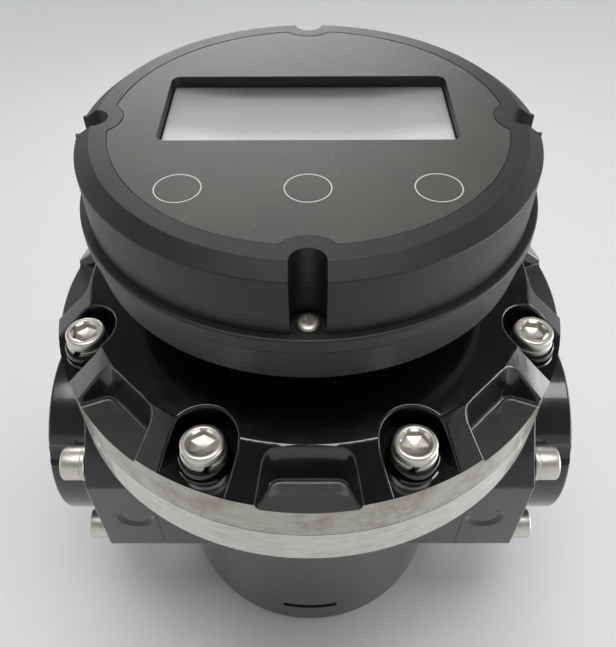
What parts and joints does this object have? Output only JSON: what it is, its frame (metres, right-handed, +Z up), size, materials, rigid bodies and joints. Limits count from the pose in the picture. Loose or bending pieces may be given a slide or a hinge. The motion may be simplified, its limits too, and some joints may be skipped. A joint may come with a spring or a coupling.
{
  "type": "oval gear flow meter",
  "caption": "Oval gear flow meter: black cast body with a bolted cover, threaded side ports and a round battery register with a display and three keys on top.",
  "frame": {"origin": "centre of the bounding box's bottom face, which is under the register axis on the surface the meter stands on", "axes": "+Z is up along the register axis, X runs along the pipe from inlet (-X) to outlet (+X), and the reader stands on the -Y side"},
  "size_m": [0.214, 0.1832, 0.2367],
  "materials": {
    "painted_casting": "gloss black paint on cast aluminium, flange rims machined bare",
    "nitrile": "black nitrile seal",
    "bright_screws": "bright nickel-plated or stainless screws",
    "spring_washers": "bright spring steel",
    "gear_steel": "machined and hobbed aluminium oval gears",
    "magnet": "nickel-plated magnet",
    "carbon_bush": "dark carbon bush",
    "shaft_steel": "ground stainless shaft",
    "black_abs": "spark-textured black ABS",
    "face_film": "fine matt dark grey polycarbonate film",
    "clear_pane": "clear acrylic",
    "lcd": "blank grey reflective LCD",
    "circuit_board": "green solder mask",
    "switch_plastic": "black switch case",
    "cell_wrap": "plain shrink-wrapped cell",
    "contact_metal": "nickel-plated spring strip",
    "reed_glass": "clear glass capsule"
  },
  "bodies": {
    "meter": {"meter_body": "painted_casting", "meter_cover": "painted_casting", "inlet_adapter": "painted_casting", "outlet_adapter": "painted_casting", "cover_o_ring": "nitrile", "inlet_o_ring": "nitrile", "outlet_o_ring": "nitrile", "base_gasket": "nitrile", "lid_gasket": "nitrile", "cover_screws": "bright_screws", "inlet_screws": "bright_screws", "outlet_screws": "bright_screws", "lid_screws": "bright_screws", "base_screws": "bright_screws", "board_screws": "bright_screws", "cover_lock_washers": "spring_washers", "inlet_lock_washers": "spring_washers", "outlet_lock_washers": "spring_washers", "rotor_shaft_a": "shaft_steel", "rotor_shaft_b": "shaft_steel", "register_base": "black_abs", "register_lid": "black_abs", "lcd_holder": "black_abs", "battery_tray": "black_abs", "face_overlay": "face_film", "display_window": "clear_pane", "lcd_glass": "lcd", "display_board": "circuit_board", "sensor_board": "circuit_board", "key_switches": "switch_plastic", "battery_cells": "cell_wrap", "battery_contacts": "contact_metal", "reed_switches": "reed_glass"},
    "oval_gear_a": {"rotor_a": "gear_steel", "rotor_a_magnets": "magnet", "rotor_a_bushes": "carbon_bush"},
    "oval_gear_b": {"rotor_b": "gear_steel", "rotor_b_magnets": "magnet", "rotor_b_bushes": "carbon_bush"},
    "left_key": {"key_left": "face_film"},
    "centre_key": {"key_centre": "face_film"},
    "right_key": {"key_right": "face_film"}
  },
  "joints": [
    {"name": "gear_a_turn", "type": "hinge", "parent": "meter", "child": "oval_gear_a", "pos_m": [0, 0.024, 0.085], "axis": [0, 0, 1], "range_deg": [-15, 15]},
    {"name": "gear_b_turn", "type": "hinge", "parent": "meter", "child": "oval_gear_b", "pos_m": [0, -0.024, 0.085], "axis": [0, 0, 1], "range_deg": [-24.3, 24.3]},
    {"name": "left_key_press", "type": "slide", "parent": "meter", "child": "left_key", "axis": [0, 0, -1], "range_m": [0, 0.0003], "stiffness_N_per_m": 400, "springref_m": -0.0003},
    {"name": "centre_key_press", "type": "slide", "parent": "meter", "child": "centre_key", "axis": [0, 0, -1], "range_m": [0, 0.0003], "stiffness_N_per_m": 400, "springref_m": -0.0003},
    {"name": "right_key_press", "type": "slide", "parent": "meter", "child": "right_key", "axis": [0, 0, -1], "range_m": [0, 0.0003], "stiffness_N_per_m": 400, "springref_m": -0.0003}
  ],
  "couplings": [
    {"joint": "gear_b_turn", "follows": "gear_a_turn", "ratio": -1.62}
  ]
}
